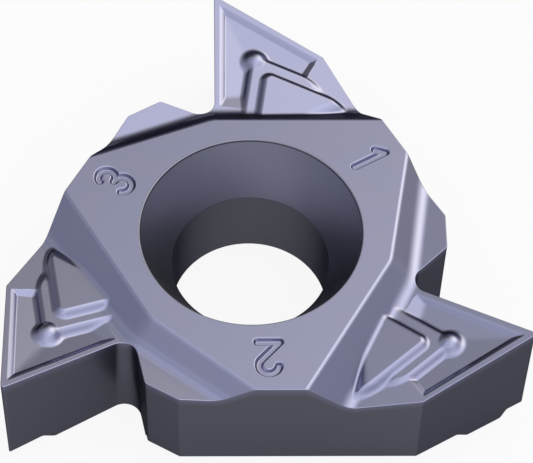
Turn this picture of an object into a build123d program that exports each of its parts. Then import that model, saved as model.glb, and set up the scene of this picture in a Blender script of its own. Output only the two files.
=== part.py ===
"""Threading insert: one pressed and sintered carbide plate with three 60-degree cutting teeth.

The plate lies flat on a triangular seat pad. A countersunk screw hole runs through a raised boss.
Each corner carries one tooth, with a sloping rake face, a sunken chip-breaker floor, and a
two-step ridge with a knob at its point.

Frame: millimetres, +Z up, origin on the hole's axis at the seat. One long side faces -Y.
The tooth that is drawn points towards +Y, and the other two are the same tooth turned by a third.
"""

import os
from math import cos, radians, sin, tan

from build123d import *

# Plate, with its sides leaning in towards the seat
inscribed_circle = 9.525
thickness = 3.66
side_draft = 0.85
draft_height = 3.2

# Tooth: place of its tip beside the long side, and the thread profile that it cuts
tooth_count = 3
tip_inset = 1.69
tip_reach = 7.16
profile_angle = 60.0

# Corner and gullet behind the tooth
corner_reach = 1.844
corner_flat = 0.98
gullet_angle = 48.6
gullet_radius = 0.40

# Rake face, falling from the tip along the tooth's centre line. The tip lies just below the boss top
tip_drop = 0.08
rake_angle = 10.36

# Raised boss round the hole
boss_front = 3.53
boss_back = 3.65
boss_back_turn = 20.7
boss_bend_radius = 0.9
boss_wall_slope = 46.0
boss_edge_radius = 0.15
valley_radius = 0.40

# Screw hole
hole_diameter = 4.08
countersink_diameter = 5.70
countersink_angle = 60.0
rim_radius = 0.08

# Seat pad, standing proud of the rest of the underside
pad_inset = 0.86
pad_depth = 0.30
pad_ramp = 60.0

# Chip-breaker floor, sunk into the rake face behind a narrow land
land_width = 0.155
floor_wall_depth = 0.065
floor_wall_slope = 25.0
floor_tilt_left = 8.0
floor_tilt_right = 5.5
floor_cut_depth = 0.22
floor_heel_length = 3.09
floor_heel_turn = -52.0
floor_root_length = 3.18
floor_root_turn = 36.0

# Two-step ridge, each step a V with its point towards the tip, and the knob at its point
ridge_half_angle = 38.0
ridge_offset = -0.033
ridge_slope = 38.0
ridge_root = 0.30
ridge_edge_radius = 0.06
low_ridge_start = 2.19
low_ridge_end = 3.84
low_ridge_height = 0.085
low_ridge_round = 0.15
high_ridge_start = 2.89
high_ridge_end = 4.48
high_ridge_height = 0.25
high_ridge_round = 0.15
knob_distance = 2.235
knob_height = 0.15
knob_radius = 0.54

# Directions of the drawn tooth, seen from above
third = 360.0 / tooth_count
half_profile = profile_angle / 2
inradius = inscribed_circle / 2
side_heading = 30.0
centre_heading = side_heading - 90
side_normal = Vector(1, 0).rotate(Axis.Z, side_heading)
side_point = side_normal * inradius


def heading_run(heading):
    """Unit vector in the plan at a heading in degrees from +X."""
    return Vector(1, 0).rotate(Axis.Z, heading)


def meet(point_a, heading_a, point_b, heading_b):
    """Point where two lines cross, each given by a point and a heading in degrees."""
    run_a = heading_run(heading_a)
    run_b = heading_run(heading_b)
    gap = point_b - point_a
    across = run_a.X * run_b.Y - run_a.Y * run_b.X
    return point_a + run_a * ((gap.X * run_b.Y - gap.Y * run_b.X) / across)


def all_round(points):
    """The same points for each tooth in turn, clockwise."""
    return [point.rotate(Axis.Z, -third * turn) for turn in range(tooth_count) for point in points]


# Corners of one third of the plate, clockwise from the gullet at the foot of its tooth
tip = side_normal * (inradius - tip_inset) - heading_run(centre_heading) * tip_reach
heel = meet(tip, centre_heading + half_profile, side_point, centre_heading)
corner_top = side_point + heading_run(centre_heading) * corner_reach
corner_low = corner_top + Vector(0, -corner_flat)
gullet_root = meet(
    corner_low.rotate(Axis.Z, third),
    third - 90 - gullet_angle,
    tip,
    centre_heading - half_profile,
)

# Plate outline, drawn at the height of the corners
with BuildPart() as blank:
    with BuildSketch(Plane.XY.offset(draft_height)) as outline:
        with BuildLine():
            Polyline(all_round([gullet_root, tip, heel, corner_top, corner_low]), close=True)
        make_face()
        gullet_corners = outline.vertices().sort_by_distance((0, 0))[:tooth_count]
        fillet(gullet_corners, gullet_radius)
    extrude(amount=2 * thickness - draft_height, taper=-side_draft)
    extrude(outline.sketch, amount=-draft_height, taper=side_draft)

# Walls of the boss in the drawn third: one behind the tooth, one along the gullet behind it
front_foot = heading_run(90) * boss_front
back_heading = 90 + boss_back_turn
back_foot = heading_run(back_heading) * boss_back
next_back_foot = back_foot.rotate(Axis.Z, -third)
boss_bend = meet(back_foot, back_heading - 90, front_foot, 0)
boss_horn = meet(front_foot, 0, next_back_foot, back_heading - 90 - third)

with BuildPart() as boss:
    with BuildSketch(Plane.XY.offset(thickness)) as boss_top:
        with BuildLine():
            Polyline(all_round([boss_bend, boss_horn]), close=True)
        make_face()
        bends = boss_top.vertices().sort_by_distance((0, 0))[:tooth_count]
        fillet(bends, boss_bend_radius)
    extrude(amount=-thickness, taper=boss_wall_slope - 90)
    fillet(boss.faces().sort_by(Axis.Z)[-1].edges(), boss_edge_radius)

# Rake face of the drawn tooth: origin at the tip, X down its centre line, Y towards the long side
rake_run = heading_run(centre_heading) * cos(radians(rake_angle)) - Vector(0, 0, sin(radians(rake_angle)))
tip_point = Vector(tip.X, tip.Y, thickness - tip_drop)
rake_plane = Plane(origin=tip_point, x_dir=rake_run, z_dir=rake_run.cross(side_normal))

# Everything under one rake face. The thirds meet under the boss, where it reaches the long side
side_start = meet(front_foot, 0, side_point, centre_heading)
side_end = meet(next_back_foot, back_heading - 90 - third, side_point, centre_heading)
third_edge = (side_start + side_end) * 2

with BuildPart() as rake_third:
    with BuildSketch():
        with BuildLine():
            Polyline(
                Vector(0, 0),
                third_edge,
                third_edge.rotate(Axis.Z, third / 2),
                third_edge.rotate(Axis.Z, third),
                close=True,
            )
        make_face()
    extrude(amount=2 * thickness)
    split(bisect_by=rake_plane, keep=Keep.BOTTOM)

# Two-step ridge
low_point = Vector(low_ridge_start, ridge_offset)
high_point = Vector(high_ridge_start, ridge_offset)


def ridge_step(point, end, height, end_round, point_round):
    """A flat-topped V on the rake face with sloping walls, cut square to the centre line at its end.

    Its arms spread from the point, and its root is sunk below the floor.
    """
    right_end = meet(point, ridge_half_angle, Vector(end, 0), 90)
    left_end = meet(point, -ridge_half_angle, Vector(end, 0), 90)
    with BuildPart() as step:
        with BuildSketch(rake_plane.offset(height)) as top:
            with BuildLine():
                Polyline(point, right_end, left_end, close=True)
            make_face()
            fillet(top.vertices().sort_by_distance(right_end)[0], end_round)
            fillet(top.vertices().sort_by_distance(point)[0], point_round)
        extrude(amount=-height - ridge_root, taper=ridge_slope - 90)
        crown = step.faces().sort_by(Axis(rake_plane.origin, rake_plane.z_dir))[-1]
        fillet(crown.edges(), ridge_edge_radius)
    return step.part


low_step = ridge_step(low_point, low_ridge_end, low_ridge_height, low_ridge_round, low_ridge_round)
high_step = ridge_step(high_point, high_ridge_end, high_ridge_height, high_ridge_round, high_ridge_round)

with BuildPart() as knob:
    with Locations(rake_plane.from_local_coords(Vector(knob_distance, 0, knob_height - knob_radius))):
        Sphere(knob_radius)

# Sunken floor: two gentle slopes that fall away from the flanks, and run on under the ridge
floor_tip = Vector(land_width / sin(radians(half_profile)), 0)
floor_heel = floor_tip + heading_run(half_profile) * floor_heel_length
floor_root = floor_tip + heading_run(-half_profile) * floor_root_length
under_heel = meet(floor_heel, floor_heel_turn, high_point, ridge_half_angle)
under_root = meet(floor_root, floor_root_turn, high_point, -ridge_half_angle)
wall_width = floor_wall_depth / tan(radians(floor_wall_slope))
floor_foot = Vector((land_width + wall_width) / sin(radians(half_profile)), 0, -floor_wall_depth)


def floor_slope(inward_heading, tilt):
    """Plane of one slope of the floor: from the foot of its wall, falling towards a heading."""
    inward = rake_plane.from_local_coords(heading_run(inward_heading)) - rake_plane.origin
    normal = rake_plane.z_dir * cos(radians(tilt)) + inward * sin(radians(tilt))
    return Plane(origin=rake_plane.from_local_coords(floor_foot), z_dir=normal)


with BuildPart() as floor_cut:
    with BuildSketch(rake_plane):
        with BuildLine():
            Polyline(floor_tip, floor_heel, under_heel, high_point, under_root, floor_root, close=True)
        make_face()
    extrude(amount=-floor_cut_depth, taper=90 - floor_wall_slope)
    split(bisect_by=floor_slope(90 - half_profile, floor_tilt_left), keep=Keep.TOP)
    split(bisect_by=floor_slope(half_profile - 90, floor_tilt_right), keep=Keep.TOP)

# Relief of the underside round the seat pad
pad_inradius = inradius - pad_inset

with BuildPart() as relief:
    with BuildSketch():
        Circle(2 * tip_reach)
    extrude(amount=pad_depth)
    with BuildSketch():
        RegularPolygon(pad_inradius, tooth_count, major_radius=False, rotation=side_heading + third / 2)
    extrude(amount=pad_depth, taper=pad_ramp - 90, mode=Mode.SUBTRACT)

# The insert: boss, rake faces and chip breakers, trimmed to the outline, then the seat and the hole
with BuildPart() as insert:
    add(boss.part)
    with PolarLocations(0, tooth_count):
        add(rake_third.part)
    valley_bends = insert.edges(Select.NEW).filter_by(GeomType.ELLIPSE)
    fillet(valley_bends, valley_radius)
    with PolarLocations(0, tooth_count):
        add(floor_cut.part, mode=Mode.SUBTRACT)
    with PolarLocations(0, tooth_count):
        add(low_step)
        add(high_step)
        add(knob.part)
    add(blank.part, mode=Mode.INTERSECT)
    add(relief.part, mode=Mode.SUBTRACT)
    with Locations(Plane.XY.offset(thickness)):
        CounterSinkHole(
            hole_diameter / 2,
            countersink_diameter / 2,
            depth=thickness,
            counter_sink_angle=countersink_angle,
        )
    rim = insert.faces().sort_by(Axis.Z)[-1].inner_wires()[0]
    fillet(rim.edges(), rim_radius)

insert.part.label = "insert"
os.makedirs("parts", exist_ok=True)
export_step(insert.part, "parts/insert.step")
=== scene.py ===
"""Looks of a threading insert: one carbide plate with three 60-degree teeth and a thin violet-grey coating.

The whole skin is worked out with numpy. The top and the underside are heights over the plan, and the
sides and the hole are profiles carried along closed loops. Sizes here are millimetres and degrees, in
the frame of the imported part, and a finished mesh is in metres.
"""

import logging
import math
from collections.abc import Callable
from dataclasses import dataclass, field
from enum import Enum

import bpy
import numpy as np
from mathutils import Matrix, Vector
from mathutils.geometry import delaunay_2d_cdt


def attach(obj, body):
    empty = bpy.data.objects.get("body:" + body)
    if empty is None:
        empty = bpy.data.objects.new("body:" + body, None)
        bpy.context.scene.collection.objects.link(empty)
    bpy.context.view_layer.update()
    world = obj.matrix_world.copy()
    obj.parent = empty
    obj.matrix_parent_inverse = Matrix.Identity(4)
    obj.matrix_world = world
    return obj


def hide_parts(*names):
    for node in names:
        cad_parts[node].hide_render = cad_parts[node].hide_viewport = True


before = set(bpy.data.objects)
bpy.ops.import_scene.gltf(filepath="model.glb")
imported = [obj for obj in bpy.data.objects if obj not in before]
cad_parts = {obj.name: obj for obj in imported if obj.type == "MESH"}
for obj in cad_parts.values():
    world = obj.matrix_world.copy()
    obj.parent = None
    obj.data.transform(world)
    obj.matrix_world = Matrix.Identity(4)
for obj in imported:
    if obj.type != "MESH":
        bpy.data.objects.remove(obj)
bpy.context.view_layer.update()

logging.basicConfig(level=logging.INFO, format="%(message)s")
log = logging.getLogger("threading_insert")

Array = np.ndarray
MM = 0.001
THIRD = 120.0
THIRDS = 3
LEAST_ARC_STEPS = 4
POINTS_AT_ONCE = 4000


# Plane geometry


def run(heading: float) -> Array:
    """Unit vector in the plan at a heading in degrees from +X."""
    return np.array([math.cos(math.radians(heading)), math.sin(math.radians(heading))])


def reach_towards(x: Array, y: Array, heading: float) -> Array:
    """Distance of plan coordinates towards a heading.

    Args:
        x: First coordinates, or distances down a tooth's centre line.
        y: Second coordinates, or distances across it.
        heading: Direction in degrees from the first axis.

    Returns:
        x times the cosine of the heading plus y times its sine.
    """
    direction = run(heading)
    return x * direction[0] + y * direction[1]


def slope(angle: float) -> float:
    """Rise over run of an angle in degrees."""
    return math.tan(math.radians(angle))


def turned(points: Array, angle: float) -> Array:
    """Plan points turned about the hole's axis.

    Args:
        points: Rows of x and y.
        angle: Turn in degrees, counter-clockwise.

    Returns:
        The turned rows.
    """
    along = run(angle)
    return points @ np.array([[along[0], along[1]], [-along[1], along[0]]])


def meet(point_a: Array, heading_a: float, point_b: Array, heading_b: float) -> Array:
    """Point where two lines cross.

    Args:
        point_a: A point on the first line.
        heading_a: Heading of the first line in degrees.
        point_b: A point on the second line.
        heading_b: Heading of the second line in degrees.

    Returns:
        The crossing: the first point plus its run times (gap x run b) / (run a x run b).
    """
    run_a, run_b = run(heading_a), run(heading_b)
    gap = point_b - point_a
    across = run_a[0] * run_b[1] - run_a[1] * run_b[0]
    return point_a + run_a * ((gap[0] * run_b[1] - gap[1] * run_b[0]) / across)


# Rounded joins between heights


def join_width(radius: float, slope_a: float, slope_b: float) -> float:
    """Width that gives a soft join of two slopes a named radius.

    Args:
        radius: Radius of the rounding, in millimetres.
        slope_a: Rise over run on one side of the join.
        slope_b: Rise over run on the other side.

    Returns:
        Radius times the slope change squared, over twice (1 + mean slope squared) to the power 1.5.
    """
    mean = (slope_a + slope_b) / 2
    return radius * (slope_a - slope_b) ** 2 / (2 * (1 + mean**2) ** 1.5)


def lower_of(a: Array | float, b: Array | float, width: float) -> Array:
    """Lower of two heights, with a rounded join.

    Args:
        a: The first height.
        b: The second height.
        width: Difference of the heights below which they are blended.

    Returns:
        The lower height, less a quarter of the width times (1 - difference / width) squared near the join.
    """
    near = np.clip(1 - np.abs(a - b) / width, 0, None)
    return np.minimum(a, b) - width / 4 * near**2


def upper_of(a: Array | float, b: Array | float, width: float) -> Array:
    """Upper of two heights, with a rounded join: the mirror image of lower_of."""
    return -lower_of(-a, -b, width)


def round_corner(past_a: Array, past_b: Array, between: float, radius: float) -> Array:
    """Distance past two walls whose shared corner is an arc in the plan.

    Args:
        past_a: Distance outside the first wall.
        past_b: Distance outside the second wall.
        between: Angle between the walls' outward directions, in degrees.
        radius: Radius of the corner.

    Returns:
        The larger distance, or in the corner's fan the distance from the arc's centre less its radius.
    """
    cosine = math.cos(math.radians(between))
    a, b = past_a + radius, past_b + radius
    fan = (a > b * cosine) & (b > a * cosine)
    from_centre = np.sqrt(np.maximum(a**2 + b**2 - 2 * a * b * cosine, 0)) / math.sin(math.radians(between))
    return np.where(fan, from_centre - radius, np.maximum(past_a, past_b))


def rounded_path(corners: Array, radii: Array, spacing: float, closed: bool) -> tuple[Array, Array]:
    """Points along straight runs joined by tangent arcs.

    Args:
        corners: Rows of two coordinates.
        radii: One radius for each corner; the ends of an open path have none.
        spacing: Greatest distance between points.
        closed: Whether the last corner joins the first.

    Returns:
        The points, and at each the unit vector to the right of the path.
    """
    count = len(corners)
    ahead = np.roll(corners, -1, axis=0) - corners
    ahead /= np.linalg.norm(ahead, axis=1, keepdims=True)
    points, rights = [], []
    turning = range(count) if closed else range(1, count - 1)
    stretches = {}
    for corner in turning:
        came, goes = ahead[corner - 1], ahead[corner]
        turn = math.atan2(came[0] * goes[1] - came[1] * goes[0], float(came @ goes))
        cut = radii[corner] * math.tan(abs(turn) / 2)
        steps = max(LEAST_ARC_STEPS, math.ceil(abs(turn) * radii[corner] / spacing))
        angle = np.linspace(0, turn, steps + 1)
        side = math.copysign(1.0, turn)
        right_in = np.array([came[1], -came[0]])
        centre = corners[corner] - came * cut - right_in * radii[corner] * side
        cosine, sine = np.cos(angle)[:, None], np.sin(angle)[:, None]
        right = right_in * cosine + np.array([-right_in[1], right_in[0]]) * sine
        stretches[corner] = (centre + right * radii[corner] * side, right)
    if not closed:
        first, last = ahead[0], ahead[-2]
        stretches[0] = (corners[:1], np.array([[first[1], -first[0]]]))
        stretches[count - 1] = (corners[-1:], np.array([[last[1], -last[0]]]))
    for corner in range(count):
        arc, right = stretches[corner]
        points.append(arc)
        rights.append(right)
        if corner == count - 1 and not closed:
            break
        start, end = arc[-1], stretches[(corner + 1) % count][0][0]
        steps = math.ceil(np.linalg.norm(end - start) / spacing)
        share = np.linspace(0, 1, steps + 1)[1:-1, None]
        points.append(start + (end - start) * share)
        rights.append(np.repeat(right[-1:], len(share), axis=0))
    return np.vstack(points), np.vstack(rights)


def depth_inside(points: Array, loop: Array) -> Array:
    """Distance of plan points inside a counter-clockwise loop.

    Args:
        points: Rows of x and y.
        loop: Corners of the loop, in order.

    Returns:
        Distance to the nearest side, positive on the inner side of it.
    """
    ends = np.roll(loop, -1, axis=0) - loop
    lengths = (ends**2).sum(1)
    found = []
    for block in np.array_split(points, max(1, len(points) // POINTS_AT_ONCE)):
        gap = block[:, None, :] - loop[None]
        share = np.clip((gap * ends).sum(2) / lengths, 0, 1)
        gap -= share[..., None] * ends
        square = (gap**2).sum(2)
        nearest = square.argmin(1)
        rows = np.arange(len(block))
        left = ends[nearest, 0] * gap[rows, nearest, 1] - ends[nearest, 1] * gap[rows, nearest, 0]
        found.append(np.copysign(np.sqrt(square[rows, nearest]), left))
    return np.concatenate(found)


# Forms of the plate


@dataclass(frozen=True)
class RidgeStep:
    """One step of the ridge: a flat-topped V whose arms spread from a point, cut square at its end.

    Distances run down the tooth's centre line from its tip.
    """

    start: float
    end: float
    height: float
    end_radius: float = 0.15
    point_radius: float = 0.15
    half_angle: float = 38.0
    wall_angle: float = 55.0
    end_angle: float = 33.0
    edge_radius: float = 0.17

    def past(self, along: Array, across: Array) -> Array:
        """Distance past the edge of the step's flat top, in the rake plane.

        Args:
            along: Distance down the centre line.
            across: Distance towards the long side.

        Returns:
            The largest of the distances past its two sides and its end, with round corners. The distance
            past the end is shortened by the ratio of the slopes, as the end's wall is the gentler one.
        """
        spread = 90 + self.half_angle
        past_right = reach_towards(along - self.start, across, spread)
        past_left = reach_towards(along - self.start, across, -spread)
        past_end = (along - self.end) * slope(self.end_angle) / slope(self.wall_angle)
        past = round_corner(past_right, past_left, 360 - 2 * spread, self.point_radius)
        return np.maximum(past, round_corner(past_right, past_end, spread, self.end_radius))

    def rise(self, past: Array) -> Array:
        """Height of the step over the rake face.

        Args:
            past: Distance past the edge of its flat top.

        Returns:
            The flat top, falling outside its edge by the wall's slope times the distance past it.
        """
        fall = slope(self.wall_angle)
        return lower_of(self.height, self.height - past * fall, join_width(self.edge_radius, 0, -fall))


@dataclass(frozen=True)
class Tooth:
    """One tooth's rake face: a land along both flanks, a sunken floor, and a two-step ridge with a knob."""

    half_profile: float = 30.0
    rake_angle: float = 10.36
    land_width: float = 0.155
    wall_width: float = 0.16
    wall_start_angle: float = 15.0
    wall_foot_angle: float = 42.0
    tilt_left: float = 3.5
    tilt_right: float = 2.5
    deepest: float = 0.22
    heel_length: float = 3.05
    heel_turn: float = -57.0
    heel_wall_angle: float = 32.0
    root_length: float = 3.10
    root_turn: float = 57.0
    root_wall_angle: float = 15.0
    root_foot_radius: float = 0.6
    foot_radius: float = 0.06
    fold_radius: float = 1.25
    knob_distance: float = 2.25
    knob_height: float = 0.145
    knob_radius: float = 0.30
    knob_steepest: float = 48.0
    knob_neck_radius: float = 0.22
    steps: tuple[RidgeStep, RidgeStep] = (
        RidgeStep(start=2.13, end=3.75, height=0.075),
        RidgeStep(start=2.79, end=4.43, height=0.24, end_radius=0.06),
    )

    def sink(self, along: Array, across: Array) -> Array:
        """Depth of the chip-breaker floor under the rake face.

        Args:
            along: Distance down the centre line.
            across: Distance towards the long side.

        Returns:
            The least of the depths that grow inwards from the pocket's sides, and nothing outside them. A
            flank's wall is an arc that steepens from its start to its foot: radius x cosine of the start
            less the root of (radius squared - (distance + radius x sine of the start) squared).
        """
        inward = 90 - self.half_profile
        from_left = reach_towards(along, across, inward) - self.land_width
        from_right = reach_towards(along, across, -inward) - self.land_width
        front = np.array([self.land_width / math.sin(math.radians(self.half_profile)), 0])
        heel = front + run(self.half_profile) * self.heel_length
        root = front + run(-self.half_profile) * self.root_length
        from_heel = reach_towards(along - heel[0], across - heel[1], self.heel_turn - 90)
        from_root = reach_towards(along - root[0], across - root[1], self.root_turn + 90)
        start, foot = math.radians(self.wall_start_angle), math.radians(self.wall_foot_angle)
        radius = self.wall_width / (math.sin(foot) - math.sin(start))
        wall_depth = radius * (math.cos(start) - math.cos(foot))
        foot_slope = slope(self.wall_foot_angle)
        soft = join_width(self.foot_radius, foot_slope, 0)
        floors = [
            wall_depth + (gap - self.wall_width) * slope(tilt)
            for gap, tilt in ((from_left, self.tilt_left), (from_right, self.tilt_right))
        ]
        fold = join_width(self.fold_radius, slope(self.tilt_left), -slope(self.tilt_right))
        depth = lower_of(lower_of(*floors, fold), self.deepest, soft)
        for gap in (from_left, from_right):
            on_arc = np.clip(gap, 0, self.wall_width)
            arc = radius * math.cos(start) - np.sqrt(radius**2 - (on_arc + radius * math.sin(start)) ** 2)
            depth = lower_of(depth, arc + (gap - on_arc) * foot_slope, soft)
        ends = (
            (from_heel, self.heel_wall_angle, self.foot_radius),
            (from_root, self.root_wall_angle, self.root_foot_radius),
        )
        for gap, angle, foot_radius in ends:
            end_wall = slope(angle)
            depth = lower_of(depth, gap * end_wall, join_width(foot_radius, end_wall, 0))
        return np.maximum(depth, 0.0)

    def ridge(self, along: Array, across: Array, soft: float) -> Array:
        """Height of the ridge and its knob over the rake face.

        Args:
            along: Distance down the centre line.
            across: Distance towards the long side.
            soft: Width of the joins between the steps.

        Returns:
            The upper of the two steps and the knob. The knob is a ball's cap: it is below its crown by the
            radius less the root of (radius squared - distance squared), and runs on as a cone.
        """
        low, high = self.steps
        from_knob = np.hypot(along - self.knob_distance, across)
        on_ball = np.minimum(from_knob, self.knob_radius * math.sin(math.radians(self.knob_steepest)))
        drop = self.knob_radius - np.sqrt(self.knob_radius**2 - on_ball**2)
        drop = drop + (from_knob - on_ball) * slope(self.knob_steepest)
        neck = join_width(self.knob_neck_radius, slope(self.knob_steepest), 0)
        top = upper_of(low.rise(low.past(along, across)), self.knob_height - drop, neck)
        return upper_of(top, high.rise(high.past(along, across)), soft)


@dataclass(frozen=True)
class CornerNumbers:
    """Plain numbers pressed into the boss, one for each corner of the plate."""

    distance: float = 3.84
    heading: float = 36.0
    reading: float = 30.0
    tall: float = 0.92
    stroke: float = 0.085
    depth: float = 0.11
    wall_width: float = 0.08

    def strokes(self, number: int, points: Array) -> Array:
        """Distance from plan points to the strokes of a number.

        Args:
            number: 1, 2 or 3.
            points: Rows in the number's own frame, where it is one unit tall and centred.

        Returns:
            Distance to the nearest line or arc of the number.
        """
        if number == 1:
            lines, arcs = [((0.02, -0.5), (0.02, 0.5)), ((0.02, 0.5), (-0.2, 0.3))], []
        elif number == 2:
            bend = np.array([0.0, 0.23]) + 0.27 * run(-32)
            lines = [(tuple(bend), (-0.29, -0.5)), ((-0.29, -0.5), (0.3, -0.5))]
            arcs = [((0.0, 0.23), 0.27, -32.0, 172.0)]
        else:
            lines = [((-0.02, 0.02), (0.06, 0.02))]
            arcs = [((0.0, 0.26), 0.24, -90.0, 155.0), ((0.0, -0.24), 0.26, -155.0, 90.0)]
        gaps = [self._to_line(points, np.array(start), np.array(end)) for start, end in lines]
        gaps += [self._to_arc(points, np.array(centre), *rest) for centre, *rest in arcs]
        return np.minimum.reduce(gaps)

    @staticmethod
    def _to_line(points: Array, start: Array, end: Array) -> Array:
        """Distance from points to a straight stroke.

        Args:
            points: Rows in the number's own frame.
            start: Where the stroke starts.
            end: Where it ends.

        Returns:
            Distance to the nearest point of the stroke.
        """
        along = end - start
        share = np.clip((points - start) @ along / (along @ along), 0, 1)
        return np.linalg.norm(points - start - share[:, None] * along, axis=1)

    @staticmethod
    def _to_arc(points: Array, centre: Array, radius: float, low: float, high: float) -> Array:
        """Distance from points to a round stroke.

        Args:
            points: Rows in the number's own frame.
            centre: Centre of the arc.
            radius: Its radius.
            low: Heading of one end, in degrees.
            high: Heading of the other end.

        Returns:
            Distance from the circle where the arc faces the point, and from the nearer end elsewhere.
        """
        gap = points - centre
        middle = (low + high) / 2
        swing = (np.degrees(np.arctan2(gap[:, 1], gap[:, 0])) - middle + 180) % 360 - 180
        ends = [np.linalg.norm(gap - radius * run(heading), axis=1) for heading in (low, high)]
        on_arc = np.abs(swing) <= (high - low) / 2
        return np.where(on_arc, np.abs(np.linalg.norm(gap, axis=1) - radius), np.minimum(*ends))

    def sink(self, points: Array) -> Array:
        """Depth of the pressed numbers.

        Args:
            points: Rows of x and y in the plan.

        Returns:
            Full depth inside a stroke, eased to nothing across its wall by a smooth step.
        """
        depth = np.zeros(len(points))
        for third in range(THIRDS):
            local = turned(points, third * THIRD) - run(self.heading) * self.distance
            local = turned(local, 90 - self.reading) / self.tall
            near = np.flatnonzero(np.abs(local).max(1) < 1)
            gap = self.strokes(third + 1, local[near]) * self.tall
            share = np.clip((self.stroke + self.wall_width / 2 - gap) / self.wall_width, 0, 1)
            depth[near] = self.depth * share**2 * (3 - 2 * share)
        return depth


@dataclass(frozen=True)
class Plate:
    """The plate's forms: its outline, the heights of its top and underside, and the screw hole."""

    thickness: float = 3.66
    inradius: float = 9.525 / 2
    side_draft: float = 0.85
    draft_height: float = 3.2
    side_heading: float = 30.0
    tip_inset: float = 1.69
    tip_reach: float = 7.16
    tip_drop: float = 0.08
    corner_reach: float = 1.844
    corner_flat: float = 0.98
    gullet_angle: float = 48.6
    tip_radius: float = 0.08
    heel_radius: float = 0.10
    corner_radius: float = 0.15
    gullet_radius: float = 0.40
    boss_front: float = 3.53
    boss_back: float = 3.65
    boss_back_turn: float = 20.7
    boss_bend_radius: float = 0.9
    boss_wall_angle: float = 46.0
    boss_edge_radius: float = 0.15
    valley_radius: float = 0.40
    ridge_foot_radius: float = 0.17
    hole_radius: float = 2.04
    sink_radius: float = 2.85
    sink_angle: float = 30.0
    rim_radius: float = 0.03
    rim_drop: float = 0.07
    bore_edge_radius: float = 0.06
    lip_width: float = 0.03
    pad_inset: float = 0.86
    pad_depth: float = 0.30
    pad_ramp: float = 60.0
    pad_edge_radius: float = 0.06
    hone_radius: float = 0.02
    settling_passes: int = 3
    tooth: Tooth = field(default_factory=Tooth)
    numbers: CornerNumbers = field(default_factory=CornerNumbers)

    @property
    def centre_heading(self) -> float:
        """Heading of the drawn tooth's centre line, from its tip."""
        return self.side_heading - 90

    @property
    def tip(self) -> Array:
        """Plan place of the drawn tooth's tip."""
        inset = run(self.side_heading) * (self.inradius - self.tip_inset)
        return inset - run(self.centre_heading) * self.tip_reach

    def outline(self, spacing: float) -> tuple[Array, Array]:
        """The plate's outline at the height of its corners.

        Args:
            spacing: Greatest distance between points.

        Returns:
            Points of the counter-clockwise loop, and the outward unit vector at each.
        """
        side_point = run(self.side_heading) * self.inradius
        half = self.tooth.half_profile
        heel = meet(self.tip, self.centre_heading + half, side_point, self.centre_heading)
        corner_top = side_point + run(self.centre_heading) * self.corner_reach
        corner_low = corner_top - np.array([0, self.corner_flat])
        next_low = turned(corner_low[None], THIRD)[0]
        gullet = meet(next_low, THIRD - 90 - self.gullet_angle, self.tip, self.centre_heading - half)
        third = np.array([corner_low, corner_top, heel, self.tip, gullet])
        corner = self.corner_radius
        radii = [corner, corner, self.heel_radius, self.tip_radius, self.gullet_radius]
        corners = np.vstack([turned(third, THIRD * turn) for turn in range(THIRDS)])
        return rounded_path(corners, np.tile(radii, THIRDS), spacing, closed=True)

    def lean(self, height: Array) -> Array:
        """Distance by which a side stands outside the outline at a height."""
        return (height - self.draft_height) * slope(self.side_draft)

    def top(self, points: Array) -> Array:
        """Height of the top face.

        Args:
            points: Rows of x and y.

        Returns:
            The upper of the boss, of the point's own rake face less its floor, and of the ridge, all
            less the numbers. The floor and the ridge are measured square to the rake face, so the place
            under a height moves down the slope by the height times the tangent of the tilt.
        """
        edge_heading = self._third_edge()
        heading = np.degrees(np.arctan2(points[:, 1], points[:, 0]))
        turns = np.round(((edge_heading + THIRD / 2) - heading) / THIRD)
        angle = np.radians(turns * THIRD)
        x = points[:, 0] * np.cos(angle) - points[:, 1] * np.sin(angle)
        y = points[:, 0] * np.sin(angle) + points[:, 1] * np.cos(angle)
        fall = slope(self.boss_wall_angle)
        brow = join_width(self.boss_edge_radius, 0, -fall)
        boss = lower_of(self.thickness, self.thickness - self._past_boss(x, y) * fall, brow)
        level, across = self._tooth_place(x, y)
        rake_slope = slope(self.tooth.rake_angle)
        level_share = math.cos(math.radians(self.tooth.rake_angle))
        rake = self.thickness - self.tip_drop - level * rake_slope
        along = level / level_share
        foot = join_width(self.ridge_foot_radius, slope(self.tooth.steps[-1].wall_angle), 0)
        sink = self.tooth.sink(along, across)
        sink = self.tooth.sink(along + sink * rake_slope, across)
        ridge = np.zeros_like(sink)
        for _ in range(self.settling_passes):
            ridge = self.tooth.ridge(along - ridge * rake_slope, across, foot)
        valley = join_width(self.valley_radius, -fall, rake_slope)
        face = upper_of(boss, rake - sink / level_share, valley)
        return upper_of(face, rake + ridge / level_share, foot) - self.numbers.sink(points)

    def _third_edge(self) -> float:
        """Heading at which two thirds meet.

        Returns:
            Heading in degrees of the middle of the stretch where the boss reaches a long side.
        """
        front_foot = run(90) * self.boss_front
        next_back = 90 + self.boss_back_turn - THIRD
        side_point = run(self.side_heading) * self.inradius
        start = meet(front_foot, 0, side_point, self.centre_heading)
        end = meet(run(next_back) * self.boss_back, next_back - 90, side_point, self.centre_heading)
        middle = start + end
        return math.degrees(math.atan2(middle[1], middle[0]))

    def _past_boss(self, x: Array, y: Array) -> Array:
        """Distance past the boss's top edge.

        Args:
            x: First coordinates in the drawn third.
            y: Second coordinates.

        Returns:
            The largest of the distances past its own two walls and one wall of each neighbour.
        """
        back = 90 + self.boss_back_turn
        past_front = y - self.boss_front
        past_back = reach_towards(x, y, back) - self.boss_back
        past = round_corner(past_front, past_back, self.boss_back_turn, self.boss_bend_radius)
        for heading, reach in ((back - THIRD, self.boss_back), (90 + THIRD, self.boss_front)):
            past = np.maximum(past, reach_towards(x, y, heading) - reach)
        return past

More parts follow.
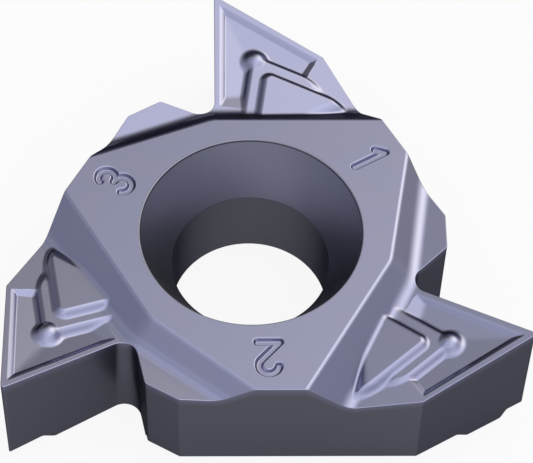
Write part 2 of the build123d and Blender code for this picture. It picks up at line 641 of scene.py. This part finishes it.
    def _tooth_place(self, x: Array, y: Array) -> tuple[Array, Array]:
        """Place in the drawn tooth's own directions.

        Args:
            x: First coordinates in the drawn third.
            y: Second coordinates.

        Returns:
            Level distance from the tip down the centre line, and distance towards the long side.
        """
        x, y = x - self.tip[0], y - self.tip[1]
        return reach_towards(x, y, self.centre_heading), reach_towards(x, y, self.side_heading)

    def underside(self, points: Array) -> Array:
        """Height of the underside.

        Args:
            points: Rows of x and y.

        Returns:
            Nothing on the triangular seat pad, then the ramp's slope times the distance past the pad's
            nearest side, up to the depth of the relief.
        """
        pad = self.inradius - self.pad_inset
        headings = [self.side_heading + THIRD * turn for turn in range(THIRDS)]
        past = np.max([points @ run(heading) - pad for heading in headings], axis=0)
        ramp = slope(self.pad_ramp)
        soft = join_width(self.pad_edge_radius, ramp, 0)
        return upper_of(lower_of(past * ramp, self.pad_depth, soft), 0.0, soft)

    def hole_profile(self, spacing: float) -> tuple[Array, Array]:
        """Section of the countersunk hole, from the top face to the underside.

        Args:
            spacing: Greatest distance between points.

        Returns:
            Rows of radius and height, and at each the unit vector out of the carbide.
        """
        bore, edge, lip = self.hole_radius, self.bore_edge_radius, self.lip_width
        sink_head = self.thickness - self.rim_drop
        sink_foot = sink_head - (self.sink_radius - bore) / slope(self.sink_angle)
        corners = [
            (self.sink_radius + self.rim_radius + lip, self.thickness),
            (self.sink_radius, self.thickness),
            (self.sink_radius, sink_head),
            (bore, sink_foot),
            (bore, 0),
            (bore + edge + lip, 0),
        ]
        radii = np.array([0, self.rim_radius, self.rim_radius, edge, edge, 0])
        return rounded_path(np.array(corners, float), radii, spacing, closed=False)


# Meshes


@dataclass(frozen=True)
class Sampling:
    """How closely the skin is sampled, in millimetres.

    Attributes:
        finest: Spacing of the top's closest points.
        underside: Spacing of the underside's closest points.
        outline: Greatest spacing round the outline.
        wall: Greatest spacing down the sides and the hole.
        round_steps: Points round the hole.
        hone_steps: Points across a honed edge.
        edge_reach: Distance over which a bend counts as an edge.
    """

    finest: float = 0.02
    underside: float = 0.04
    outline: float = 0.04
    wall: float = 0.35
    round_steps: int = 192
    hone_steps: int = 5
    edge_reach: float = 0.02


class PlanPatch:
    """A height over the plan as triangles, closer where it bends.

    Attributes:
        bend_limits: Rows of a stride over the finest lattice, the bend in degrees between neighbours above
            which that stride is used, and the rings of neighbours that share it.
        edge_room: Share of its spacing that a point keeps from the loops.
        difference_share: Finest spacing over the step of a central difference.
        merge_distance: Distance below which two points would be joined.
    """

    bend_limits = ((1, 5.0, 1), (2, 2.5, 3), (4, 1.2, 7), (8, -1.0, 0))
    edge_room = 0.45
    difference_share = 8
    merge_distance = 1e-9

    def __init__(self, height: Callable[[Array], Array], outer: Array, hole: Array, finest: float) -> None:
        """Lays out the plan points and joins them.

        Args:
            height: Function from rows of x and y to heights.
            outer: The outer loop, counter-clockwise.
            hole: The hole's loop, counter-clockwise.
            finest: Spacing of the closest points.
        """
        self.height = height
        self.step = finest / self.difference_share
        lattice = self._lattice(outer, finest)
        room = lattice[:, 2] * self.edge_room
        inside = depth_inside(lattice[:, :2], outer) > room
        reach = np.hypot(*hole[0])
        inside &= np.hypot(lattice[:, 0], lattice[:, 1]) > reach + room
        self.plan = np.vstack([outer, hole, lattice[inside, :2]])
        self.triangles = self._join(len(outer), len(hole))

    def _lattice(self, outer: Array, finest: float) -> Array:
        """Hexagonal lattice, thinned where the surface is flat.

        Args:
            outer: The loop to cover.
            finest: Spacing of the closest points.

        Returns:
            Rows of x, y and the local spacing.
        """
        low, high = outer.min(0), outer.max(0)
        rise = finest * math.sqrt(3) / 2
        rows = math.ceil((high[1] - low[1]) / rise)
        columns = math.ceil((high[0] - low[0]) / finest) + rows // 2 + 1
        j, i = np.mgrid[0:rows, 0:columns]
        x = low[0] + (i + j / 2 - rows / 2) * finest
        y = low[1] + j * rise
        normals = self.normals(np.stack([x.ravel(), y.ravel()], 1)).reshape(rows, columns, 3)
        turn = np.zeros((rows, columns))
        for shift in ((1, 0), (0, 1), (1, -1)):
            change = np.linalg.norm(normals - np.roll(normals, shift, (0, 1)), axis=2)
            turn = np.maximum(turn, np.degrees(change))
        spacing = np.zeros((rows, columns))
        for stride, limit, spread in reversed(self.bend_limits):
            close = turn > limit
            for _ in range(spread):
                rings = [np.roll(close, shift, axis) for shift in (1, -1) for axis in (0, 1)]
                close = np.logical_or.reduce([close, *rings])
            kept = np.zeros_like(close)
            kept[::stride, ::stride] = close[::stride, ::stride]
            spacing[kept] = finest * stride
        chosen = spacing > 0
        return np.stack([x[chosen], y[chosen], spacing[chosen]], 1)

    def _join(self, outer_count: int, hole_count: int) -> Array:
        """Triangles between the plan points, kept within the loops.

        Args:
            outer_count: Points on the outer loop, which come first.
            hole_count: Points on the hole's loop, which come next.

        Returns:
            Rows of three point numbers, counter-clockwise from above.
        """
        ring = np.arange(outer_count)
        inner = outer_count + np.arange(hole_count)
        edges = np.vstack([np.stack([loop, np.roll(loop, -1)], 1) for loop in (ring, inner)]).tolist()
        places = [Vector(place) for place in self.plan.tolist()]
        found = delaunay_2d_cdt(places, edges, [], 1, self.merge_distance, True)
        if len(found[0]) != len(self.plan):
            raise ValueError(f"the plan's points were merged: {len(self.plan)} became {len(found[0])}")
        triangles = np.array(found[2])
        in_hole = ((triangles >= outer_count) & (triangles < outer_count + hole_count)).all(1)
        triangles = triangles[~in_hole]
        on_ring = np.flatnonzero((triangles < outer_count).all(1))
        outside = depth_inside(self.plan[triangles[on_ring]].mean(1), self.plan[:outer_count]) < 0
        return np.delete(triangles, on_ring[outside], axis=0)

    def normals(self, points: Array) -> Array:
        """Unit normals of the surface.

        Args:
            points: Rows of x and y.

        Returns:
            (fall eastward, fall northward, 1) made one unit long, each fall a central difference.
        """
        across, up = np.array([self.step, 0.0]), np.array([0.0, self.step])
        fall_x = (self.height(points - across) - self.height(points + across)) / (2 * self.step)
        fall_y = (self.height(points - up) - self.height(points + up)) / (2 * self.step)
        normals = np.stack([fall_x, fall_y, np.ones(len(points))], 1)
        return normals / np.linalg.norm(normals, axis=1, keepdims=True)

    def bend(self, points: Array, reach: float) -> Array:
        """How sharply the surface bends, positive on an outer edge.

        Args:
            points: Rows of x and y.
            reach: Distance over which the bend is felt.

        Returns:
            Spread of the normals across the point: the change of the eastward part from west to east
            plus the change of the northward part from south to north.
        """
        across, up = np.array([reach, 0.0]), np.array([0.0, reach])
        east = self.normals(points + across)[:, 0] - self.normals(points - across)[:, 0]
        north = self.normals(points + up)[:, 1] - self.normals(points - up)[:, 1]
        return east + north

    def points(self) -> Array:
        """The patch's points in space."""
        return np.column_stack([self.plan, self.height(self.plan)])


class InsertBody:
    """The carbide body as one closed skin."""

    name = "insert_body"

    def __init__(self, plate: Plate, sampling: Sampling) -> None:
        """Keeps the forms and the sampling.

        Args:
            plate: The plate's forms.
            sampling: How closely the skin is sampled.
        """
        self.plate = plate
        self.sampling = sampling

    def build(self) -> bpy.types.Object:
        """Makes the skin from its top, sides, underside and hole.

        Returns:
            The mesh object, in metres.
        """
        plate, sampling = self.plate, self.sampling
        outline, outward = plate.outline(sampling.outline)
        profile, profile_out = plate.hole_profile(sampling.wall)
        around = np.linspace(0, 2 * np.pi, sampling.round_steps, endpoint=False)
        circle = np.stack([np.cos(around), np.sin(around)], 1)

        hone = plate.hone_radius
        inset = outline - outward * hone
        upper = plate.top(inset)
        upper_loop = inset + outward * plate.lean(upper)[:, None]
        lower = plate.underside(inset)
        lower_loop = inset + outward * plate.lean(lower)[:, None]
        top = PlanPatch(plate.top, upper_loop, circle * profile[0, 0], sampling.finest)
        base = PlanPatch(plate.underside, lower_loop, circle * profile[-1, 0], sampling.underside)
        upper, lower = plate.top(upper_loop), plate.underside(lower_loop)

        top_points, base_points = top.points(), base.points()
        top_normals, base_normals = top.normals(top.plan), -base.normals(base.plan)
        side_points, side_normals = self._sides(
            upper_loop, upper, lower_loop, lower, outward, top_normals, base_normals
        )
        hole_points = self._turned_section(profile[1:-1], circle)
        hole_normals = self._turned_section(profile_out[1:-1], circle)

        loop, ring = len(outline), len(circle)
        side_start = len(top_points)
        hole_start = side_start + len(side_points)
        base_start = hole_start + len(hole_points)
        side_rows = side_start + np.arange(len(side_points)).reshape(-1, loop)
        side_rows = np.vstack([np.arange(loop), side_rows, base_start + np.arange(loop)])
        hole_rows = hole_start + np.arange(len(hole_points)).reshape(-1, ring)
        hole_rows = np.vstack([loop + np.arange(ring), hole_rows, base_start + loop + np.arange(ring)])
        faces = top.triangles.tolist() + (base.triangles[:, ::-1] + base_start).tolist()
        faces += self._bands(side_rows) + self._bands(hole_rows[:, ::-1])
        points = np.concatenate([top_points, side_points, hole_points, base_points])
        normals = np.concatenate([top_normals, side_normals, hole_normals, base_normals])

        masks = {label: np.zeros(len(points), np.float32) for label in ("edge", "flank", "hollow")}
        # edge: bend of the top, positive on convex edges, and full on the hone; it lightens the colour
        # there, partly as honed wear and partly as painted highlight
        masks["edge"][: len(top_points)] = top.bend(top.plan, sampling.edge_reach)
        masks["edge"][side_start : side_start + loop * (sampling.hone_steps - 1)] = 1
        # flank and hollow also darken the colour of the sides and the hole, as painted shade
        masks["flank"][side_start:hole_start] = 1
        masks["hollow"][hole_start:base_start] = 1
        body = bpy.data.objects.new(self.name, self._mesh(points, normals, faces, masks))
        bpy.context.scene.collection.objects.link(body)
        log.info("%s: %d points, %d faces", self.name, len(points), len(faces))
        return body

    def _mesh(
        self,
        points: Array,
        normals: Array,
        faces: list[list[int]],
        masks: dict[str, Array],
    ) -> bpy.types.Mesh:
        """Puts the skin into a mesh.

        Args:
            points: Rows of x, y and z, in millimetres.
            normals: Unit normal at each point.
            faces: Point numbers of each face.
            masks: A value for each point, under the name of the attribute that holds it.

        Returns:
            The mesh in metres, shaded by the given normals.
        """
        mesh = bpy.data.meshes.new(self.name)
        mesh.from_pydata((points * MM).tolist(), [], faces)
        mesh.shade_smooth()
        mesh.normals_split_custom_set_from_vertices(normals.tolist())
        for label, values in masks.items():
            mask = mesh.attributes.new(label, "FLOAT", "POINT")
            mask.data.foreach_set("value", values)
        mesh.validate()
        return mesh

    def _sides(
        self,
        upper_loop: Array,
        upper: Array,
        lower_loop: Array,
        lower: Array,
        outward: Array,
        top_normals: Array,
        base_normals: Array,
    ) -> tuple[Array, Array]:
        """Rows of the side wall between the top patch and the underside.

        Args:
            upper_loop: Plan points of the top patch's edge.
            upper: Their heights.
            lower_loop: Plan points of the underside's edge.
            lower: Their heights.
            outward: Outward unit vectors of the outline.
            top_normals: Normals of the top patch, its edge first.
            base_normals: Normals of the underside, its edge first.

        Returns:
            Points and normals, row after row: the honed upper edge, a quarter turn on the hone's radius,
            then the straight wall, then the same quarter turn at the lower edge.
        """
        hone, steps = self.plate.hone_radius, self.sampling.hone_steps
        count = len(outward)
        wall_normal = np.column_stack([outward, np.full(count, -slope(self.plate.side_draft))])
        points, normals = [], []
        angles = np.linspace(0, np.pi / 2, steps)
        for angle in angles[1:]:
            plan = upper_loop + outward * hone * math.sin(angle)
            points.append(np.column_stack([plan, upper - hone * (1 - math.cos(angle))]))
            normals.append(top_normals[:count] * math.cos(angle) + wall_normal * math.sin(angle))
        head = points[-1]
        foot = np.column_stack([lower_loop + outward * hone, lower + hone])
        wall_steps = math.ceil(self.plate.thickness / self.sampling.wall)
        for share in np.linspace(0, 1, wall_steps + 1)[1:]:
            points.append(head + (foot - head) * share)
            normals.append(wall_normal)
        for angle in angles[1:-1][::-1]:
            plan = lower_loop + outward * hone * math.sin(angle)
            points.append(np.column_stack([plan, lower + hone * (1 - math.cos(angle))]))
            normals.append(base_normals[:count] * math.cos(angle) + wall_normal * math.sin(angle))
        normals = np.concatenate(normals)
        return np.concatenate(points), normals / np.linalg.norm(normals, axis=1, keepdims=True)

    @staticmethod
    def _turned_section(section: Array, circle: Array) -> Array:
        """Rows of a section carried round the hole's axis.

        Args:
            section: Rows of a distance from the axis and a height.
            circle: Unit vectors round the axis.

        Returns:
            For each row of the section in turn, the circle times the distance, at the height.
        """
        return np.concatenate([np.column_stack([circle * r, np.full(len(circle), z)]) for r, z in section])

    @staticmethod
    def _bands(rows: Array) -> list[list[int]]:
        """Quads between rows of point numbers.

        Args:
            rows: One closed loop in each row, the uppermost first.

        Returns:
            The four point numbers of each quad.
        """
        left, right = rows, np.roll(rows, -1, axis=1)
        quads = np.stack([left[:-1], left[1:], right[1:], right[:-1]], -1)
        return quads.reshape(-1, 4).tolist()


# Finish


class Socket(Enum):
    """Kinds of socket on a shader node group."""

    VALUE = "NodeSocketFloat"
    VECTOR = "NodeSocketVector"


@dataclass(frozen=True)
class Graph:
    """A node tree, and the steps that it is built with."""

    tree: bpy.types.NodeTree

    def add(self, kind: str, operation: str = "", **values: object) -> bpy.types.Node:
        """Adds a node.

        Args:
            kind: The node's type, without its Shader prefix.
            operation: Its operation, or its data type on a mix, where it has one.
            values: A socket to link or a value to set for each input, named in lower case with _ for a
                space. A name such as in_1 chooses the input by its number.

        Returns:
            The node.
        """
        node = self.tree.nodes.new("Shader" + kind)
        if operation:
            setattr(node, "data_type" if kind == "NodeMix" else "operation", operation)
        for name, value in values.items():
            key = int(name[3:]) if name.startswith("in_") else name.replace("_", " ").title()
            socket = node.inputs[key]
            if isinstance(value, bpy.types.NodeSocket):
                self.tree.links.new(value, socket)
            else:
                socket.default_value = value
        return node

    def math(self, operation: str, *terms: object) -> bpy.types.NodeSocket:
        """Adds a math node.

        Args:
            operation: What it works out.
            terms: Its sockets or numbers, in order.

        Returns:
            The socket of the result.
        """
        node = self.add("NodeMath", operation, **{f"in_{place}": term for place, term in enumerate(terms)})
        return node.outputs[0]

    def mix(self, factor: object, base: object, over: object) -> bpy.types.NodeSocket:
        """Adds a colour mix.

        Args:
            factor: Share of the second colour.
            base: The first colour.
            over: The second colour.

        Returns:
            The socket of the mixed colour.
        """
        return self.add("NodeMix", "RGBA", factor=factor, a=base, b=over).outputs["Result"]

    def attribute(self, label: str) -> bpy.types.NodeSocket:
        """Adds a mask of the piece's own points.

        Args:
            label: The attribute's name.

        Returns:
            The socket of the mask.
        """
        node = self.add("NodeAttribute")
        node.attribute_name = label
        return node.outputs["Fac"]


def grain_group() -> bpy.types.NodeTree:
    """Grain of sintered carbide: one noise that varies the roughness and raises the surface.

    Returns:
        A group that reads a place, a grain size, a middle value and its swing. It gives the noise stretched
        to that value, the noise as a height, and a slow drift over many grains.
    """
    drift_run = 40.0
    fine_detail = 2.0
    drift_detail = 1.0
    noise_middle = 0.5
    group = bpy.data.node_groups.new("carbide_grain", "ShaderNodeTree")
    group.interface.new_socket("Place", in_out="INPUT", socket_type=Socket.VECTOR.value)
    for label in ("Size", "Middle", "Swing"):
        group.interface.new_socket(label, in_out="INPUT", socket_type=Socket.VALUE.value)
    for label in ("Value", "Height", "Drift"):
        group.interface.new_socket(label, in_out="OUTPUT", socket_type=Socket.VALUE.value)
    graph = Graph(group)
    given = group.nodes.new("NodeGroupInput").outputs
    result = group.nodes.new("NodeGroupOutput").inputs
    scale = graph.math("DIVIDE", 1.0, given["Size"])
    fine = graph.add("NodeTexNoise", vector=given["Place"], scale=scale, detail=fine_detail).outputs["Fac"]
    slow_scale = graph.math("DIVIDE", scale, drift_run)
    slow = graph.add("NodeTexNoise", vector=given["Place"], scale=slow_scale, detail=drift_detail)
    centred = graph.math("SUBTRACT", fine, noise_middle)
    value = graph.math("MULTIPLY_ADD", centred, given["Swing"], given["Middle"])
    group.links.new(value, result["Value"])
    group.links.new(fine, result["Height"])
    group.links.new(slow.outputs["Fac"], result["Drift"])
    return group


@dataclass(frozen=True)
class CoatedCarbide:
    """Finish of the whole plate: sintered carbide under a thin violet-grey hard coating.

    The pressed top keeps the grain of the powder, and the ground flanks have finer and longer marks. The
    colour is darkened on the flanks and in the hole as painted shade, and lightened along convex edges and
    the hone, partly as honed wear and partly as painted highlight.
    """

    slot: str = "coated_carbide"
    face_colour: tuple[float, float, float] = (0.41, 0.42, 0.575)
    drift_colour: tuple[float, float, float] = (0.43, 0.42, 0.55)
    # painted shade: darker colour of the flanks and the hole
    sides_painted_shade_colour: tuple[float, float, float] = (0.345, 0.345, 0.41)
    # lighter colour along convex edges and the hone: partly honed wear, partly painted highlight
    hone_wear_and_highlight_colour: tuple[float, float, float] = (0.48, 0.48, 0.64)
    glancing_tint: tuple[float, float, float] = (0.02, 0.02, 0.03)
    metallic: float = 1.0
    face_roughness: float = 0.25
    flank_roughness: float = 0.31
    hollow_roughness: float = 0.34
    roughness_swing: float = 0.06
    grain_size: float = 0.03
    grain_height: float = 0.0004
    grinding_size: float = 0.02
    grinding_run: float = 12.0

    def material(self) -> bpy.types.Material:
        """Builds the node material.

        Returns:
            The material, with its colour, roughness and bump worked out on Object coordinates.
        """
        material = bpy.data.materials.new(self.slot)
        material.use_nodes = True
        graph = Graph(material.node_tree)
        shader = material.node_tree.nodes["Principled BSDF"]
        shader.inputs["Metallic"].default_value = self.metallic
        shader.inputs["Specular Tint"].default_value = (*self.glancing_tint, 1)
        place = graph.add("NodeTexCoord").outputs["Object"]
        stretch = (1, 1, 1 / self.grinding_run)
        drawn_out = graph.add("NodeMapping", vector=place, scale=stretch).outputs["Vector"]
        group = grain_group()
        pressed = self._grain(graph, group, place, self.grain_size, self.face_roughness)
        ground = self._grain(graph, group, drawn_out, self.grinding_size, self.flank_roughness)
        flank = graph.attribute("flank")
        hollow = graph.attribute("hollow")
        edge = graph.attribute("edge")
        face = graph.mix(pressed["Drift"], (*self.face_colour, 1), (*self.drift_colour, 1))
        # painted shade: a darker colour on the flanks and in the hole
        side = graph.mix(graph.math("MAXIMUM", flank, hollow), face, (*self.sides_painted_shade_colour, 1))
        # painted highlight, partly honed wear: a lighter colour where the edge mask is high
        colour = graph.mix(edge, side, (*self.hone_wear_and_highlight_colour, 1))
        outside = graph.add("NodeMix", "FLOAT", factor=flank, in_2=pressed["Value"], in_3=ground["Value"])
        smooth = outside.outputs["Result"]
        rough = graph.add("NodeMix", "FLOAT", factor=hollow, in_2=smooth, in_3=self.hollow_roughness)
        height = graph.add("NodeMix", "FLOAT", factor=flank, in_2=pressed["Height"], in_3=ground["Height"])
        bump = graph.add("NodeBump", height=height.outputs["Result"], distance=self.grain_height * MM)
        material.node_tree.links.new(colour, shader.inputs["Base Color"])
        material.node_tree.links.new(rough.outputs["Result"], shader.inputs["Roughness"])
        material.node_tree.links.new(bump.outputs["Normal"], shader.inputs["Normal"])
        return material

    def _grain(
        self,
        graph: Graph,
        group: bpy.types.NodeTree,
        place: bpy.types.NodeSocket,
        size: float,
        roughness: float,
    ) -> bpy.types.bpy_prop_collection:
        """Places the grain group.

        Args:
            graph: The material's tree.
            group: The grain group.
            place: Socket of the coordinates.
            size: Size of a grain, in millimetres.
            roughness: Middle roughness.

        Returns:
            The group's outputs.
        """
        node = graph.add("NodeGroup")
        node.node_tree = group
        node.inputs["Size"].default_value = size * MM
        node.inputs["Middle"].default_value = roughness
        node.inputs["Swing"].default_value = self.roughness_swing
        graph.tree.links.new(place, node.inputs["Place"])
        return node.outputs


# Studio


@dataclass(frozen=True)
class SkyPatch:
    """A soft round patch of the studio, in degrees.

    It is a soft box where its radiance is above nothing, and a dark card where it is below.
    """

    heading: float
    elevation: float
    inner: float
    soft: float
    radiance: float
    tint: tuple[float, float, float] = (1.0, 1.0, 1.0)

    @property
    def direction(self) -> Vector:
        """Unit vector towards the middle of the patch."""
        level, raised = run(self.elevation)
        return Vector((*(run(self.heading) * level), raised))

    def light(self, graph: Graph, towards: bpy.types.NodeSocket) -> bpy.types.NodeSocket:
        """Adds the patch to the world.

        Args:
            graph: The world's tree.
            towards: Socket of the direction that is looked at.

        Returns:
            Socket of the tint times the patch's radiance: all of it up to the inner angle from its middle,
            and nothing past the soft rim, joined by a smooth step.
        """
        product = graph.add("NodeVectorMath", "DOT_PRODUCT", in_0=towards, in_1=self.direction)
        angle = graph.math("ARCCOSINE", product.outputs["Value"])
        fade = graph.add(
            "NodeMapRange",
            value=angle,
            from_min=math.radians(self.inner),
            from_max=math.radians(self.inner + self.soft),
            to_min=self.radiance,
            to_max=0.0,
        )
        fade.interpolation_type = "SMOOTHSTEP"
        light = graph.add("NodeVectorMath", "SCALE", in_0=self.tint, scale=fade.outputs["Result"])
        return light.outputs["Vector"]


@dataclass(frozen=True)
class Studio:
    """Pale floor, a sky that brightens upwards with soft patches of light and shade, and the camera.

    The floor's white is its colour to the camera, and its bounce is its colour to all else. Its glow is the
    share of plain white light in what the camera sees, and the metal sees only a part of that.
    """

    floor_size: float = 1600.0
    floor_roughness: float = 0.9
    floor_white: float = 0.9
    floor_bounce: float = 0.25
    floor_glow: float = 0.9
    floor_in_metal: float = 0.15
    ground_colour: tuple[float, float, float] = (0.15, 0.15, 0.12)
    horizon_colour: tuple[float, float, float] = (0.28, 0.29, 0.36)
    zenith_colour: tuple[float, float, float] = (0.90, 0.93, 1.00)
    horizon_depth: float = 0.2
    sky_growth: float = 1.4
    patches: tuple[SkyPatch, ...] = (
        SkyPatch(heading=40, elevation=33, inner=0, soft=45, radiance=1.3, tint=(1.1, 1.05, 0.85)),
        SkyPatch(heading=-75, elevation=60, inner=35, soft=40, radiance=0.3, tint=(0.95, 0.95, 1.1)),
        SkyPatch(heading=195, elevation=65, inner=25, soft=10, radiance=-0.3),
        SkyPatch(heading=110, elevation=30, inner=0, soft=65, radiance=-0.4, tint=(0.9, 0.95, 1.15)),
    )
    focal_length: float = 204.26
    camera_elevation: float = 55.643
    camera_turn: float = -2.382
    camera_roll: float = -1.943
    camera_place: tuple[float, float, float] = (-1.423, -43.612, 67.455)
    camera_nearest: float = 1.0
    camera_furthest: float = 10000.0

    def build(self) -> None:
        """Makes the floor, the sky and the camera."""
        self._floor()
        self._sky()
        self._camera()

    def _floor(self) -> None:
        """Makes the pale floor under the seat.

        The camera sees it nearly white, and the metal sees it dimmed.
        """
        half = self.floor_size * MM / 2
        mesh = bpy.data.meshes.new("floor")
        corners = [(-half, -half, 0), (half, -half, 0), (half, half, 0), (-half, half, 0)]
        mesh.from_pydata(corners, [], [(0, 1, 2, 3)])
        floor = bpy.data.objects.new("floor", mesh)
        bpy.context.scene.collection.objects.link(floor)
        material = bpy.data.materials.new("pale_floor")
        material.use_nodes = True
        graph = Graph(material.node_tree)
        nodes, links = material.node_tree.nodes, material.node_tree.links
        shader = nodes["Principled BSDF"]
        shader.inputs["Roughness"].default_value = self.floor_roughness
        shader.inputs["Specular IOR Level"].default_value = 0.0
        rays = graph.add("NodeLightPath").outputs
        bounce = (self.floor_bounce,) * 3 + (1,)
        seen = (self.floor_white,) * 3 + (1,)
        card = graph.mix(rays["Is Camera Ray"], bounce, seen)
        clear = graph.math("ADD", rays["Is Camera Ray"], rays["Is Transmission Ray"])
        shown = graph.math("MULTIPLY_ADD", rays["Is Glossy Ray"], self.floor_in_metal, clear)
        share = graph.math("MULTIPLY", shown, self.floor_glow)
        white = graph.add("NodeEmission", strength=1.0).outputs["Emission"]
        mix = graph.add("NodeMixShader", in_0=share, in_1=shader.outputs["BSDF"], in_2=white)
        links.new(card, shader.inputs["Base Color"])
        links.new(mix.outputs[0], nodes["Material Output"].inputs["Surface"])
        mesh.materials.append(material)

    def _sky(self) -> None:
        """Builds the world, which the camera sees as plain white.

        The light grows from the horizon to the zenith as the sine of the elevation, raised to a power. It
        fades to the ground's below the horizon, and the soft patches are added to it.
        """
        world = bpy.data.worlds.new("studio")
        bpy.context.scene.world = world
        world.use_nodes = True
        graph = Graph(world.node_tree)
        towards = graph.add("NodeTexCoord").outputs["Generated"]
        height = graph.add("NodeSeparateXYZ", vector=towards).outputs["Z"]
        growth = graph.math("POWER", graph.math("MAXIMUM", height, 0.0), self.sky_growth)
        above = graph.mix(growth, (*self.horizon_colour, 1), (*self.zenith_colour, 1))
        sunk = graph.add("NodeMapRange", value=height, from_min=0.0, from_max=-self.horizon_depth)
        total = graph.mix(sunk.outputs["Result"], above, (*self.ground_colour, 1))
        for patch in self.patches:
            light = patch.light(graph, towards)
            total = graph.add("NodeVectorMath", "ADD", in_0=total, in_1=light).outputs[0]
        total = graph.add("NodeVectorMath", "MAXIMUM", in_0=total, in_1=(0.0, 0.0, 0.0)).outputs[0]
        rays = graph.add("NodeLightPath").outputs
        sky = graph.mix(rays["Is Camera Ray"], total, (1, 1, 1, 1))
        world.node_tree.links.new(sky, world.node_tree.nodes["Background"].inputs["Color"])

    def _camera(self) -> None:
        """Places the camera at the photograph's viewing angle.

        It looks down by the elevation, and is turned about +Z and rolled.
        """
        lens = bpy.data.cameras.new("camera")
        lens.lens = self.focal_length
        lens.clip_start = self.camera_nearest * MM
        lens.clip_end = self.camera_furthest * MM
        camera = bpy.data.objects.new("camera", lens)
        tilt = Matrix.Rotation(math.radians(90 - self.camera_elevation), 4, "X")
        turn = Matrix.Rotation(math.radians(self.camera_turn), 4, "Z")
        roll = Matrix.Rotation(math.radians(-self.camera_roll), 4, "Z")
        camera.matrix_world = Matrix.Translation(Vector(self.camera_place) * MM) @ turn @ tilt @ roll
        bpy.context.scene.collection.objects.link(camera)
        bpy.context.scene.camera = camera


def main() -> None:
    """Builds the plate and the studio."""
    body = InsertBody(Plate(), Sampling()).build()
    finish = CoatedCarbide()
    body.data.materials.append(finish.material())
    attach(body, "root")
    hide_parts("insert")
    log.info("%s rides on root and stands for the insert", body.name)
    Studio().build()
    bpy.context.scene.view_settings.view_transform = "Standard"


if __name__ == "__main__":
    main()
